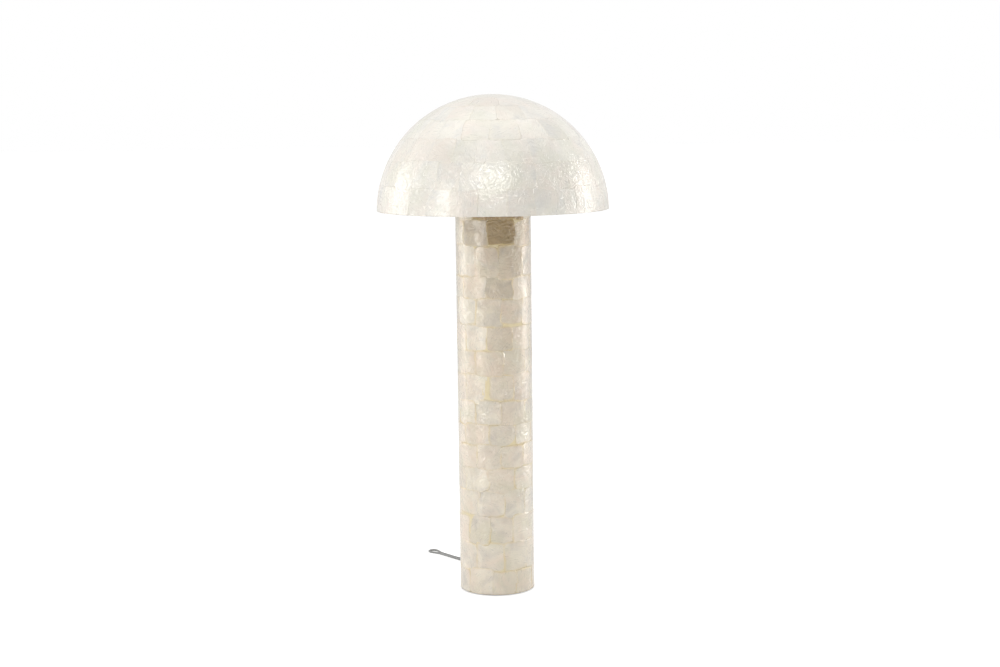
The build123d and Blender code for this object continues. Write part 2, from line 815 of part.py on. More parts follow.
# ---------------------------------------------------------------- everything
def main():
    os.makedirs("parts", exist_ok=True)
    left = Pos(-holder_spread, 0, 0)
    right = Pos(holder_spread, 0, 0)
    write("base_felt_pad", [base_felt_pad()])
    write("base_weight_plate", [base_weight_plate()])
    write("column_core", [column_core()])
    write("column_top_plate", [column_top_plate()])
    column_shell_courses()
    write("lamp_pipe", [tube(pipe_radius, pipe_bore, pipe_low, pipe_top)])
    write("pipe_nuts", [hex_nut(low) for low in nut_levels()])
    write("pipe_washers", [pipe_washer(low) for low in washer_levels()])
    write("lamp_holder_bodies", [side * lamp_holder() for side in (left, right)])
    write("lamp_holder_screw_shells", [side * screw_shell() for side in (left, right)])
    write("holder_nipples", [side * holder_nipple() for side in (left, right)])
    for name, side in (("left", left), ("right", right)):
        write(f"bulb_{name}_cap", [side * bulb_cap()])
        write(f"bulb_{name}_glass", [side * bulb_glass()])
    write("shade_core", [shade_core()])
    shade_shell_courses()
    write("shade_spider", [shade_spider()])
    write("shade_bond_patches", shade_bond_patches())
    write("shade_glide_washer", [shade_glide_washer()])
    write("terminal_block", [terminal_block()])
    wire = holder_wire()
    write("holder_wires", [wire, mirror(wire, about=Plane.YZ)])
    write("cord_inside", [cord_inside()])
    write("cord_strain_relief", [cord_strain_relief()])
    write("foot_switch_base", [foot_switch_base()])
    write("foot_switch_cover", [foot_switch_cover()])
    write("foot_switch_mechanism", [foot_switch_mechanism()])
    write("foot_switch_button", [foot_switch_button()])
    cord_pieces()


main()
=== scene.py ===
import math
import random

import bpy
from mathutils import Matrix, Vector, noise


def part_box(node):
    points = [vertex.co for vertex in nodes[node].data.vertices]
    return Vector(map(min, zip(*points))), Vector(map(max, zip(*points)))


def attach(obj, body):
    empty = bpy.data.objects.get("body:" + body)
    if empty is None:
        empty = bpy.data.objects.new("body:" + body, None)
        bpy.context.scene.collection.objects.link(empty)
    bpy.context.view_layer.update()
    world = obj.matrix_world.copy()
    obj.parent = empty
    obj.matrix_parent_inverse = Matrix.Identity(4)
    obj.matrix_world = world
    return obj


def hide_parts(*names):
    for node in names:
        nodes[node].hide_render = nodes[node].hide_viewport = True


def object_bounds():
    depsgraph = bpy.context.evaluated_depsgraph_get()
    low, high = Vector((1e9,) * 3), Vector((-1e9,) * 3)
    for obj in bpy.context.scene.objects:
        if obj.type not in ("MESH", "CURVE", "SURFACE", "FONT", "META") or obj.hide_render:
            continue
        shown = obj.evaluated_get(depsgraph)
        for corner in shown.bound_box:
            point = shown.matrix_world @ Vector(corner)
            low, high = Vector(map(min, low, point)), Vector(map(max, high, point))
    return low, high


# Mushroom floor lamp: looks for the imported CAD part. Metres, +Z up, the front faces -Y.

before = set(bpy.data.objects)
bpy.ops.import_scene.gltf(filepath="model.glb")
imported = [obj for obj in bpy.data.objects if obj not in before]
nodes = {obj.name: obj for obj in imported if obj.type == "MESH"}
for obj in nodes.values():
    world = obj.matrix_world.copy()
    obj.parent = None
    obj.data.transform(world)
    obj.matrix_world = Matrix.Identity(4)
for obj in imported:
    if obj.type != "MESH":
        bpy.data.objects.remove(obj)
cad_low, cad_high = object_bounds()

# ---------------------------------------------------------------- sizes read from the frame
MM = 0.001
column_courses = sorted(name for name in nodes if name.startswith("column_shell_course"))
shade_courses = sorted(name for name in nodes if name.startswith("shade_shell_course"))
crown_z = cad_high.z
rim_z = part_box("shade_core")[0].z
rim_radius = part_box(shade_courses[0])[1].x
sphere_z = (crown_z**2 - rim_z**2 - rim_radius**2) / (2 * (crown_z - rim_z))
shade_radius = crown_z - sphere_z
shade_core_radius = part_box("shade_core")[1].z - sphere_z
column_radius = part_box(column_courses[0])[1].x
column_core_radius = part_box("column_core")[1].x

# Shell work, as in the CAD source
SHELL_WIDTH = 62 * MM
SEAM_DRIFT = 0.07
CROWN_PIECE_RADIUS = 17 * MM
RESIN_DEPTH = 0.95 * MM  # resin surface behind the outermost lacquer
CORD_DIAMETER = 5 * MM
WIRE_DIAMETER = 2.2 * MM


# ---------------------------------------------------------------- colours
def srgb(red, green, blue):
    """A colour as it shows on a screen, from 0 to 255, in the shader's linear values."""
    linear = []
    for value in (red, green, blue):
        share = value / 255
        linear.append(share / 12.92 if share <= 0.04045 else ((share + 0.055) / 1.055) ** 2.4)
    return (*linear, 1.0)


# ---------------------------------------------------------------- material building
class Nodes:
    """Short ways to add nodes to a tree and to link them."""

    def __init__(self, tree):
        self.tree = tree

    def put(self, node, socket, value):
        """Set a socket to a number or colour, or link it to another node's output."""
        if isinstance(value, bpy.types.NodeSocket):
            self.tree.links.new(value, node.inputs[socket])
        else:
            node.inputs[socket].default_value = value

    def fill(self, node, **values):
        """Set a node's sockets by name: base_color is Base Color, and so on."""
        for name, value in values.items():
            self.put(node, name.replace("_", " ").title().replace("Ior", "IOR"), value)
        return node

    def add(self, kind, **values):
        return self.fill(self.tree.nodes.new("ShaderNode" + kind), **values)

    def parts(self, vector):
        split = self.add("SeparateXYZ", vector=vector)
        return split.outputs["X"], split.outputs["Y"], split.outputs["Z"]

    def math(self, operation, first, second=0.0):
        step = self.add("Math")
        step.operation = operation
        self.put(step, 0, first)
        self.put(step, 1, second)
        return step.outputs["Value"]

    def plus(self, first, second):
        return self.math("ADD", first, second)

    def times(self, first, second):
        return self.math("MULTIPLY", first, second)

    def span(self, value, low, high, to_low=0.0, to_high=1.0, way="LINEAR"):
        """Map a range of values to another, and stop at its ends."""
        ends = {"from_min": low, "from_max": high, "to_min": to_low, "to_max": to_high}
        step = self.add("MapRange", value=value, **ends)
        step.interpolation_type = way
        return step.outputs["Result"]

    def blend(self, share, first, second):
        """A shader node that mixes two others."""
        step = self.add("MixShader", fac=share)
        self.put(step, 1, first.outputs[0])
        self.put(step, 2, second.outputs[0])
        return step


class Surface(Nodes):
    """A material in the making: its Principled shader and the textures that feed it."""

    def __init__(self, name):
        self.material = bpy.data.materials.new(name)
        self.material.use_nodes = True
        super().__init__(self.material.node_tree)
        self.shader = self.tree.nodes["Principled BSDF"]

    def set(self, **values):
        """Set the shader's own sockets."""
        self.fill(self.shader, **values)

    def position(self):
        """Places on the object, in metres."""
        return self.add("TexCoord").outputs["Object"]

    def scaled(self, vector, stretch):
        """Places stretched along an axis, for grain."""
        return self.add("Mapping", vector=vector, scale=stretch).outputs["Vector"]

    def attribute(self, name, output="Vector"):
        source = self.add("Attribute")
        source.attribute_name = name
        return source.outputs[output]

    def noise(self, vector, scale, detail=3.0, roughness=0.5, distortion=0.0):
        """Cloudy noise. scale is about how many clouds lie along a metre."""
        kind = {"detail": detail, "roughness": roughness, "distortion": distortion}
        return self.add("TexNoise", vector=vector, scale=scale, **kind).outputs["Fac"]

    def cell_edges(self, vector, scale):
        texture = self.add("TexVoronoi")
        texture.feature = "DISTANCE_TO_EDGE"
        self.fill(texture, vector=vector, scale=scale)
        return texture.outputs["Distance"]

    def mix(self, share, first, second, blend="MIX"):
        step = self.add("Mix")
        step.data_type = "RGBA"
        step.blend_type = blend
        # Where a mix of colours has its share, its two inputs and its output
        self.put(step, 0, share)
        self.put(step, 6, first)
        self.put(step, 7, second)
        return step.outputs[2]

    def bump(self, height, distance, strength=1.0):
        step = self.add("Bump", height=height, distance=distance, strength=strength)
        return step.outputs["Normal"]


def shell_material(name, cream, cool, blush, moss, seam, pooling, crumpled, lacquered):
    """Cut capiz shell under crinkled clear lacquer: pearly and cloudy, amber where resin pools.

    pooling is how strong the amber gets, and lacquered is the lacquer's weight. crumpled is
    (low, high, share at low, share at high): how the crumples' depth changes with height.
    """
    shell = Surface(name)
    local = shell.attribute("shell_place")
    place = shell.position()
    warm, cold, shade = shell.parts(shell.attribute("shell_tone"))
    edge = shell.attribute("shell_edge", "Fac")
    lean = shell.attribute("shell_lean", "Fac")

    clouds = shell.noise(local, 24, 3, 0.5, 0.8)
    drifts = shell.noise(place, 18, 3, 0.5, 0.8)
    cooling = shell.plus(shell.times(cold, 0.16), clouds)
    colour = shell.mix(shell.span(cooling, 0.46, 0.76), cream, cool)
    blushing = shell.plus(shell.times(warm, 0.2), drifts)
    colour = shell.mix(shell.span(blushing, 0.48, 0.82, 0, 0.9), colour, blush)
    mossy = shell.noise(place, 13, 3, 0.5, 0.6)
    colour = shell.mix(shell.span(mossy, 0.5, 0.7, 0, 0.85), colour, moss)
    growth = shell.noise(shell.scaled(local, (1, 0.12, 1)), 420, 4, 0.6, 0.6)
    specks = shell.noise(local, 620, 2, 0.5)
    for share, stain_and_shade in (
        (shell.span(growth, 0.35, 0.75, 0, 0.12), srgb(182, 172, 152)),
        # tan shell, and on the column painted shade under the lamp's shade
        (shade, srgb(178, 158, 122)),
        (shell.span(specks, 0.72, 0.8, 0, 0.55), srgb(120, 104, 80)),
    ):
        colour = shell.mix(share, colour, stain_and_shade, "MULTIPLY")
    pools = shell.span(shell.noise(place, 15, 3, 0.6, 0.3), 0.38, 0.62)
    near_edge = shell.span(shell.plus(edge, shell.times(clouds, 0.3)), 0.98, 1.22)
    resin = shell.times(shell.times(near_edge, pools), pooling)
    shell.set(base_color=shell.mix(resin, colour, seam), metallic=0.18, specular_ior_level=0.5)
    shell.set(roughness=shell.span(growth, 0.3, 0.7, 0.24, 0.4))
    shell.set(coat_weight=lacquered, coat_roughness=0.04, coat_ior=1.75)

    # The lacquer's surface in metres: each piece's own tilt, slow waves, then crumpled foil
    patches = shell.span(shell.noise(place, 14, 2, 0.5, 0.5), 0.34, 0.56, 0.45, 1.0)
    rough = shell.times(patches, shell.span(shell.parts(place)[2], *crumpled))
    waves = shell.times(shell.noise(place, 34, 2, 0.5, 0.8), 3.0 * MM)
    creases = shell.times(shell.noise(local, 50, 2, 0.45, 2.4), 4.6 * MM)
    crinkles = shell.times(shell.noise(local, 220, 2, 0.5, 2.0), 0.35 * MM)
    foil = shell.times(shell.plus(creases, crinkles), rough)
    lacquer = shell.plus(shell.plus(lean, waves), foil)
    grown = shell.plus(shell.times(growth, 0.02 * MM), lean)
    under = shell.plus(grown, shell.times(shell.plus(waves, foil), 0.3))
    shell.set(coat_normal=shell.bump(lacquer, 1.0), normal=shell.bump(under, 1.0))
    return shell.material


def resin_material(name, colour, deep):
    """Amber casting resin between and behind the pieces of shell."""
    resin = Surface(name)
    place = resin.position()
    resin.set(base_color=resin.mix(resin.noise(place, 60, 3), colour, deep), roughness=0.3)
    resin.set(coat_weight=1.0, coat_roughness=0.05)
    resin.set(normal=resin.bump(resin.noise(place, 260, 3), 0.3 * MM))
    return resin.material


def laminate_material():
    """White-painted glass-fibre laminate, with the strands of the mat faintly showing."""
    laminate = Surface("laminate")
    place = laminate.position()
    strands = laminate.cell_edges(laminate.scaled(place, (1, 1, 0.35)), 420)
    strands = laminate.span(strands, 0.0, 0.12)
    clouds = laminate.noise(place, 30, 4)
    colour = laminate.mix(clouds, srgb(236, 232, 222), srgb(224, 218, 204))
    colour = laminate.mix(laminate.span(strands, 0, 1, 0.25, 0), colour, srgb(205, 198, 182))
    laminate.set(base_color=colour, roughness=laminate.span(clouds, 0.3, 0.7, 0.45, 0.62))
    laminate.set(normal=laminate.bump(strands, 0.12 * MM, 0.7))
    return laminate.material


def felt_material():
    """Grey pressed felt."""
    felt = Surface("felt")
    fibres = felt.noise(felt.position(), 1400, 5, 0.7, 2.0)
    felt.set(base_color=felt.mix(fibres, srgb(62, 60, 58), srgb(104, 100, 96)), roughness=0.95)
    felt.set(sheen_weight=0.35, sheen_roughness=0.5, normal=felt.bump(fibres, 0.5 * MM))
    return felt.material


def metal_material(name, light, dark, roughness, metallic=1.0, grain=300, depth=0.05):
    """Worked metal with faint stains and a fine surface grain."""
    metal = Surface(name)
    place = metal.position()
    stains = metal.noise(place, 45, 4)
    grains = metal.noise(place, grain, 3)
    metal.set(base_color=metal.mix(stains, light, dark), metallic=metallic)
    metal.set(roughness=metal.span(grains, 0.3, 0.7, roughness - 0.08, roughness + 0.1))
    metal.set(normal=metal.bump(grains, depth * MM))
    return metal.material


def plastic_material(name, light, dark, roughness, grain=900, depth=0.04, coat=0.0):
    """Moulded plastic or paint with a fine matt texture."""
    plastic = Surface(name)
    place = plastic.position()
    clouds = plastic.noise(place, 70, 3)
    grains = plastic.noise(place, grain, 3)
    plastic.set(base_color=plastic.mix(clouds, light, dark), coat_weight=coat)
    plastic.set(roughness=plastic.span(grains, 0.3, 0.7, roughness - 0.06, roughness + 0.08))
    plastic.set(normal=plastic.bump(grains, depth * MM))
    return plastic.material


def opal_glass_material():
    """Milky glass under a clear gloss."""
    glass = Surface("opal_glass")
    place = glass.position()
    veil = glass.noise(place, 25, 2)
    glass.set(base_color=glass.mix(veil, srgb(244, 243, 238), srgb(236, 235, 229)))
    glass.set(roughness=0.12, coat_weight=0.6, coat_roughness=0.04)
    glass.set(subsurface_weight=0.25, subsurface_scale=4 * MM)
    glass.set(normal=glass.bump(glass.noise(place, 90, 2), 0.06 * MM))
    return glass.material


def woven_material():
    """The woven hook-and-loop strap round the coil, its rows running along it."""
    woven = Surface("tie_fabric")
    place = woven.position()
    rows = woven.math("SINE", woven.times(woven.parts(place)[2], 5200))
    weave = woven.plus(woven.times(rows, 0.25), woven.noise(place, 1600, 4, 0.7, 1.0))
    woven.set(base_color=woven.mix(weave, srgb(52, 52, 52), srgb(92, 92, 90)), roughness=0.9)
    woven.set(normal=woven.bump(weave, 0.2 * MM))
    return woven.material


column_shell = shell_material(
    "column_shell",
    cream=srgb(245, 236, 218),
    cool=srgb(216, 208, 196),
    blush=srgb(243, 226, 207),
    moss=srgb(228, 221, 199),
    seam=srgb(230, 205, 144),
    pooling=0.9,
    crumpled=(0.15, 0.5, 0.55, 1.1),
    lacquered=1.0,
)
shade_shell = shell_material(
    "shade_shell",
    cream=srgb(250, 246, 236),
    cool=srgb(236, 234, 228),
    blush=srgb(248, 239, 229),
    moss=srgb(239, 237, 224),
    seam=srgb(240, 231, 208),
    pooling=0.4,
    crumpled=(1.06, 1.14, 1.3, 0.25),
    lacquered=0.45,
)
column_resin = resin_material("column_resin", srgb(236, 224, 190), srgb(226, 207, 160))
shade_resin = resin_material("shade_resin", srgb(236, 231, 218), srgb(230, 224, 209))
laminate = laminate_material()
felt = felt_material()
iron = metal_material("iron", srgb(72, 70, 68), srgb(52, 50, 49), 0.62, 0.6, 500, 0.2)
zinc = metal_material("zinc_steel", srgb(190, 192, 194), srgb(160, 162, 164), 0.32)
brass = metal_material("brass", srgb(214, 178, 104), srgb(188, 150, 82), 0.26)
cap_metal = metal_material("cap_metal", srgb(205, 205, 202), srgb(178, 178, 176), 0.22)
white_paint = plastic_material("painted_steel", srgb(236, 234, 228), srgb(228, 225, 217), 0.42, 500)
porcelain = plastic_material(
    "porcelain", srgb(242, 240, 233), srgb(236, 232, 222), 0.16, 200, 0.03, 1.0
)
white_plastic = plastic_material("white_plastic", srgb(232, 231, 226), srgb(224, 222, 216), 0.45)
grey_plastic = plastic_material("grey_plastic", srgb(150, 151, 150), srgb(138, 139, 138), 0.48)
button_plastic = plastic_material(
    "button_plastic", srgb(196, 196, 194), srgb(188, 188, 186), 0.42
)
bakelite = plastic_material("bakelite", srgb(34, 30, 29), srgb(26, 24, 24), 0.25, 400, 0.03, 0.5)
cord_jacket = plastic_material("cord_jacket", srgb(158, 158, 156), srgb(142, 142, 141), 0.45, 1200)
wire_sleeve = plastic_material("wire_sleeve", srgb(222, 221, 214), srgb(210, 208, 198), 0.3)
opal_glass = opal_glass_material()
tie_fabric = woven_material()


# ---------------------------------------------------------------- mesh building
def settle(piece, body, slot, *replaced):
    """Parent a piece to its body's empty and hide the CAD nodes that it stands for; slot is not
    used.
    """
    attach(piece, body)
    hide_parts(*replaced)


def mesh_piece(name, points, faces, materials, face_materials=None):
    """A smooth object from points and faces, each face with a material index."""
    mesh = bpy.data.meshes.new(name)
    mesh.from_pydata(points, [], faces)
    for material in materials:
        mesh.materials.append(material)
    if face_materials:
        mesh.polygons.foreach_set("material_index", face_materials)
    mesh.polygons.foreach_set("use_smooth", [True] * len(faces))
    mesh.update()
    piece = bpy.data.objects.new(name, mesh)
    bpy.context.scene.collection.objects.link(piece)
    return piece


def polar(radius, angle, height):
    """A point round the Z axis."""
    return (radius * math.cos(angle), radius * math.sin(angle), height)


def turned_points(profile, segments):
    """Points and faces of a surface turned about the Z axis from (radius, height) points."""
    points = []
    faces = []
    rows = len(profile)
    for step in range(segments):
        angle = 2 * math.pi * step / segments
        points += [polar(radius, angle, height) for radius, height in profile]
        here = step * rows
        there = (step + 1) % segments * rows
        for row in range(rows - 1):
            faces.append((here + row, there + row, there + row + 1, here + row + 1))
    return points, faces


def rings_joined(first, rings, count):
    """Faces between closed rings of points that follow one another, each of the same count."""
    faces = []
    for ring in range(rings - 1):
        inner = first + ring * count
        outer = inner + count
        for step in range(count):
            after = (step + 1) % count
            faces.append((inner + step, outer + step, outer + after, inner + after))
    return faces


def dress(material, slot, *names):
    """Give CAD nodes their material; slot is not used."""
    for name in names:
        node = nodes[name]
        node.data.materials.clear()
        node.data.materials.append(material)


# ---------------------------------------------------------------- cut shells
RIM_POINTS = 64  # points round one piece's outline
RING_SHARES = (0.0, 0.25, 0.5, 0.7, 0.85, 0.94, 1.0)
EDGE_SHARE = 0.15  # share of a piece's reach that its rounded edge takes
PIECE_DEPTH = 0.45 * MM  # a flat piece's face behind the outermost lacquer
LEAST_DEPTH = 0.03 * MM
SKIRT = 0.2 * MM  # how far a piece's edge runs down into the resin
END_GAP = 0.4 * MM  # between the column's end courses and the ends of their nodes
COURSE_DRIFT = 2.4  # spread in millimetres of the pieces' upper and lower edges
TAN_AND_SHADE_FRONT = math.radians(-90 + 12)  # the side that the tan pieces and the painted shade under the lamp's shade face most
BACKING_ROWS = 12


def pieces_around(radius):
    """How many pieces a course of this radius takes, as in the CAD source."""
    return max(3, round(2 * math.pi * radius / SHELL_WIDTH))


def piece_edges(count, course):
    """Angles at which the pieces of a course meet, as in the CAD source."""
    stagger = 0.5 * (course % 2)
    edges = []
    for index in range(count):
        drift = SEAM_DRIFT * math.sin(5.1 * index + 2.3 * course)
        edges.append((index + stagger + drift) * 2 * math.pi / count)
    edges.append(edges[0] + 2 * math.pi)
    return edges


def cut_outline(chance, squareness):
    """A hand-cut outline in the square from -1 to 1: each corner rounded by its own amount."""
    corners = [chance.uniform(*squareness) for _ in range(4)]
    seed = chance.uniform(0, 100)
    outline = []
    for step in range(RIM_POINTS):
        side, along = divmod(8 * step / RIM_POINTS, 2)
        start = math.pi / 4 + side * math.pi / 2
        angle = start - math.pi / 2 + math.pi / 4 + math.atan(along - 1)
        across = math.cos(angle)
        up = math.sin(angle)
        power = corners[int(angle // (math.pi / 2)) % 4]
        reach = (abs(across) ** power + abs(up) ** power) ** (-1 / power)
        reach *= 1 + 0.11 * noise.noise((1.3 * across, 1.3 * up, seed))
        reach *= 1 + 0.035 * noise.noise((4.5 * across, 4.5 * up, seed + 9))
        outline.append((reach * across, reach * up))
    return outline


class ShellWork:
    """Collects the cut pieces of one course, then makes them into one object."""

    def __init__(self):
        self.points = []
        self.faces = []
        self.face_materials = []
        self.places = []
        self.tones = []
        self.edges = []
        self.leans = []

    def add_piece(self, place, half_width, half_height, chance, cut):
        """One cut piece. place(across, up, depth) gives a point for -1..1 in the piece's frame.

        cut holds what differs between column and shade: how square the corners are, how much
        relief a piece has, how far it is tipped and flattened as its lacquer shows it, whether it
        is domed upwards too, and how tan it is, which on the column holds painted shade too.
        """
        outline = cut_outline(chance, cut["squareness"])
        spread = (chance.uniform(1.04, 1.14), chance.uniform(1.04, 1.16))
        relief = cut["relief"] * MM
        layer = chance.uniform(0.0, 0.28) * relief
        lean_across = chance.gauss(0, 0.14) * relief
        lean_up = chance.gauss(0, 0.14) * relief
        belly = chance.uniform(-0.1, 0.2) * relief
        seed = (chance.uniform(0, 50), chance.uniform(0, 50), chance.uniform(0, 50))
        turn = chance.uniform(0, 2 * math.pi)
        # the tone's third share is a piece's tan, with painted shade from cut on the column
        tone = (chance.random(), chance.random(), cut["tan_and_shade"] + 0.12 * chance.random() ** 2)
        tip_across = chance.gauss(0, cut["tip"])
        tip_up = chance.gauss(0, cut["tip"])
        flattening = cut["flattening"] * chance.uniform(0.4, 1.6)
        first = len(self.points)
        for ring, share in enumerate(RING_SHARES + (1.0,)):
            skirt = ring == len(RING_SHARES)
            rounded = max(0, (share - 1 + EDGE_SHARE) / EDGE_SHARE)
            for across, up in outline[:1] if share == 0 else outline:
                a = across * share * spread[0]
                b = up * share * spread[1]
                tilt = lean_across * a + lean_up * b
                crown = belly * (1 - min(1, a * a)) * (1 - min(1, b * b))
                depth = PIECE_DEPTH + layer - tilt - crown + 0.12 * relief * rounded**2
                depth = RESIN_DEPTH + SKIRT if skirt else max(LEAST_DEPTH, depth)
                self.points.append(place(a, b, depth))
                wide = a * half_width
                high = b * half_height
                grain_across = wide * math.cos(turn) - high * math.sin(turn)
                grain_up = wide * math.sin(turn) + high * math.cos(turn)
                self.places.append((seed[0] + grain_across, seed[1] + grain_up, seed[2]))
                self.tones.append(tone)
                self.edges.append(share)
                flat = flattening * (wide * wide + cut["domed"] * high * high) / 2
                self.leans.append(flat + tip_across * wide + tip_up * high)
        for step in range(RIM_POINTS):
            self.faces.append((first, first + 1 + step, first + 1 + (step + 1) % RIM_POINTS))
        self.faces += rings_joined(first + 1, len(RING_SHARES), RIM_POINTS)
        self.face_materials += [0] * (len(self.faces) - len(self.face_materials))

    def add_backing(self, profile, segments=128):
        """The resin behind the course, turned about the lamp's axis."""
        first = len(self.points)
        points, faces = turned_points(profile, segments)
        self.points += points
        self.faces += [tuple(first + index for index in face) for face in faces]
        self.face_materials += [1] * len(faces)
        self.places += points
        self.tones += [(0.5, 0.5, 0.5)] * len(points)
        self.edges += [1.0] * len(points)
        self.leans += [0.0] * len(points)

    def finish(self, name, materials, node, body, slot):
        piece = mesh_piece(name, self.points, self.faces, materials, self.face_materials)
        for attribute, kind, values in (
            ("shell_place", "FLOAT_VECTOR", self.places),
            ("shell_tone", "FLOAT_VECTOR", self.tones),
            ("shell_edge", "FLOAT", self.edges),
            ("shell_lean", "FLOAT", self.leans),
        ):
            layer = piece.data.attributes.new(attribute, kind, "POINT")
            if kind == "FLOAT":
                layer.data.foreach_set("value", values)
            else:
                layer.data.foreach_set("vector", [part for vector in values for part in vector])
        settle(piece, body, slot, node)


def column_place(middle_angle, half_angle, middle_height, half_height):
    def place(across, up, depth):
        angle = middle_angle + across * half_angle
        return polar(column_radius - depth, angle, middle_height + up * half_height)

    return place


def shade_place(middle_angle, half_angle, middle_rise, half_rise):
    def place(across, up, depth):
        rise = middle_rise + up * half_rise
        radius = shade_radius - depth
        level = radius * math.cos(rise)
        angle = middle_angle + across * half_angle
        return polar(level, angle, sphere_z + radius * math.sin(rise))

    return place


def crown_place(reach):
    """Places round the pole, for the single round piece."""

    def place(across, up, depth):
        radius = shade_radius - depth
        away = reach * math.hypot(across, up) / shade_radius
        level = radius * math.sin(away)
        return polar(level, math.atan2(up, across), sphere_z + radius * math.cos(away))

    return place


def kept_inside(place, low, high=math.inf):
    """Places that stop at the work's edge, for the courses at its ends."""

    def inside(across, up, depth):
        x, y, z = place(across, up, depth)
        return (x, y, min(max(z, low), high))

    return inside


def tan_and_painted_shade(angle, height):
    """How tan a piece is, with painted shade: most at the front just under the lamp's shade, then
    painted shade fading down the column.
    """
    aside = abs(math.remainder(angle - TAN_AND_SHADE_FRONT, 2 * math.pi))
    below = rim_z - height
    # painted shadow of the lamp's shade on the column's top, partly tan shell
    under_shade = max(0.0, 1 - below / (120 * MM))
    # painted shade, fading far down the column's front
    shaded = max(0.0, 1 - below / (620 * MM))
    facing = max(0.0, 1 - aside / math.radians(55))
    return 0.03 + (1.1 * under_shade + 0.5 * shaded) * facing


def column_tiles():
    """The column's courses of shell, each in the space of its CAD node."""
    chance = random.Random(27)
    resin_radius = column_radius - RESIN_DEPTH
    cut = {"squareness": (3.5, 14.0), "relief": 1.0, "tip": 0.016, "domed": 0}
    cut["flattening"] = 0.12 / column_radius
    for course, node in enumerate(column_courses, start=1):
        low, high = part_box(node)
        work = ShellWork()
        edges = piece_edges(pieces_around(column_radius), course)
        first = course == 1
        last = course == len(column_courses)
        limits = (low.z if first else -math.inf, high.z if last else math.inf)
        for start, end in zip(edges, edges[1:]):
            bottom = low.z + (END_GAP if first else chance.gauss(0, COURSE_DRIFT) * MM)
            top = high.z - (END_GAP if last else chance.gauss(0, COURSE_DRIFT) * MM)
            half_height = (top - bottom) / 2
            half_angle = (end - start) / 2
            angle = (start + end) / 2
            height = bottom + half_height
            # tan pieces with painted shade, strongest at the front under the lamp's shade
            cut["tan_and_shade"] = tan_and_painted_shade(angle, height)
            place = kept_inside(column_place(angle, half_angle, height, half_height), *limits)
            work.add_piece(place, half_angle * column_radius, half_height, chance, cut)
        profile = [(resin_radius, low.z - 0.5 * MM), (resin_radius, high.z + 0.5 * MM)]
        if first:
            profile = [(column_core_radius, low.z), (resin_radius, low.z), profile[1]]
        if last:
            profile = [profile[0], (resin_radius, high.z), (column_core_radius, high.z)]
        work.add_backing(profile)
        materials = [column_shell, column_resin]
        work.finish(f"column_tiles_{course:02d}", materials, node, "stand", "column_shell")


def shade_tiles():
    """The shade's courses of shell from the rim up, with a round piece at the crown."""
    chance = random.Random(8)
    cut = {"squareness": (6.0, 20.0), "relief": 0.3, "tip": 0.008, "domed": 1, "tan_and_shade": 0.0}
    cut["flattening"] = 0.06 / shade_radius
    rim = math.asin((rim_z - sphere_z) / shade_radius)
    crown = math.pi / 2 - CROWN_PIECE_RADIUS / shade_radius
    step = (math.pi / 2 - rim) / len(shade_courses)
    resin_radius = shade_radius - RESIN_DEPTH
    for course, node in enumerate(shade_courses, start=1):
        work = ShellWork()
        first = course == 1
        last = course == len(shade_courses)
        low = rim + (course - 1) * step
        high = crown if last else rim + course * step
        middle_rise = (low + high) / 2
        half_rise = (high - low) / 2
        around = shade_radius * math.cos(middle_rise)
        edges = piece_edges(pieces_around(around), course)
        for start, end in zip(edges, edges[1:]):
            half_angle = (end - start) / 2
            place = shade_place((start + end) / 2, half_angle, middle_rise, half_rise)
            place = kept_inside(place, rim_z if first else -math.inf)
            work.add_piece(place, around * half_angle, shade_radius * half_rise, chance, cut)
        if last:
            cut["squareness"] = (2.0, 2.4)
            reach = CROWN_PIECE_RADIUS
            work.add_piece(crown_place(reach), reach, reach, chance, cut)
        top = math.pi / 2 if last else high
        profile = []
        if first:
            profile.append((math.sqrt(shade_core_radius**2 - (rim_z - sphere_z) ** 2), rim_z))
            profile.append((shade_radius - PIECE_DEPTH, rim_z))
        for row in range(BACKING_ROWS + 1):
            rise = low + (top - low) * row / BACKING_ROWS
            level = sphere_z + resin_radius * math.sin(rise)
            profile.append((resin_radius * math.cos(rise), level))
        work.add_backing(profile, 192)
        materials = [shade_shell, shade_resin]
        work.finish(f"shade_tiles_{course:02d}", materials, node, "shade", "shade_shell")


column_tiles()
shade_tiles()

# ---------------------------------------------------------------- CAD nodes that keep their shape
dress(laminate, "laminate", "column_core", "shade_core", "shade_bond_patches")
dress(iron, "iron", "base_weight_plate")
dress(white_paint, "painted_steel", "column_top_plate", "shade_spider")
dress(zinc, "zinc_steel", "lamp_pipe", "pipe_nuts", "pipe_washers", "holder_nipples")
dress(porcelain, "porcelain", "lamp_holder_bodies")
dress(brass, "brass", "plug_blades")
dress(white_plastic, "white_plastic", "terminal_block", "shade_glide_washer")
dress(white_plastic, "white_plastic", "foot_switch_mechanism")
dress(grey_plastic, "grey_plastic", "foot_switch_base", "foot_switch_cover")
dress(button_plastic, "button_plastic", "foot_switch_button")
dress(opal_glass, "opal_glass", "bulb_left_glass", "bulb_right_glass")


# ---------------------------------------------------------------- small pieces with more detail
THREAD_PITCH = 3.6 * MM
THREAD_ROWS = 44
THREAD_SEGMENTS = 60
SECTION_POINTS = 48
SHARP_EDGE = math.radians(38)


def thread_wave(x, y, z):
    """A screw thread's rise and fall, from -1 to 1, at a point round the Z axis."""
    return math.sin(2 * math.pi * z / THREAD_PITCH - math.atan2(y, x))


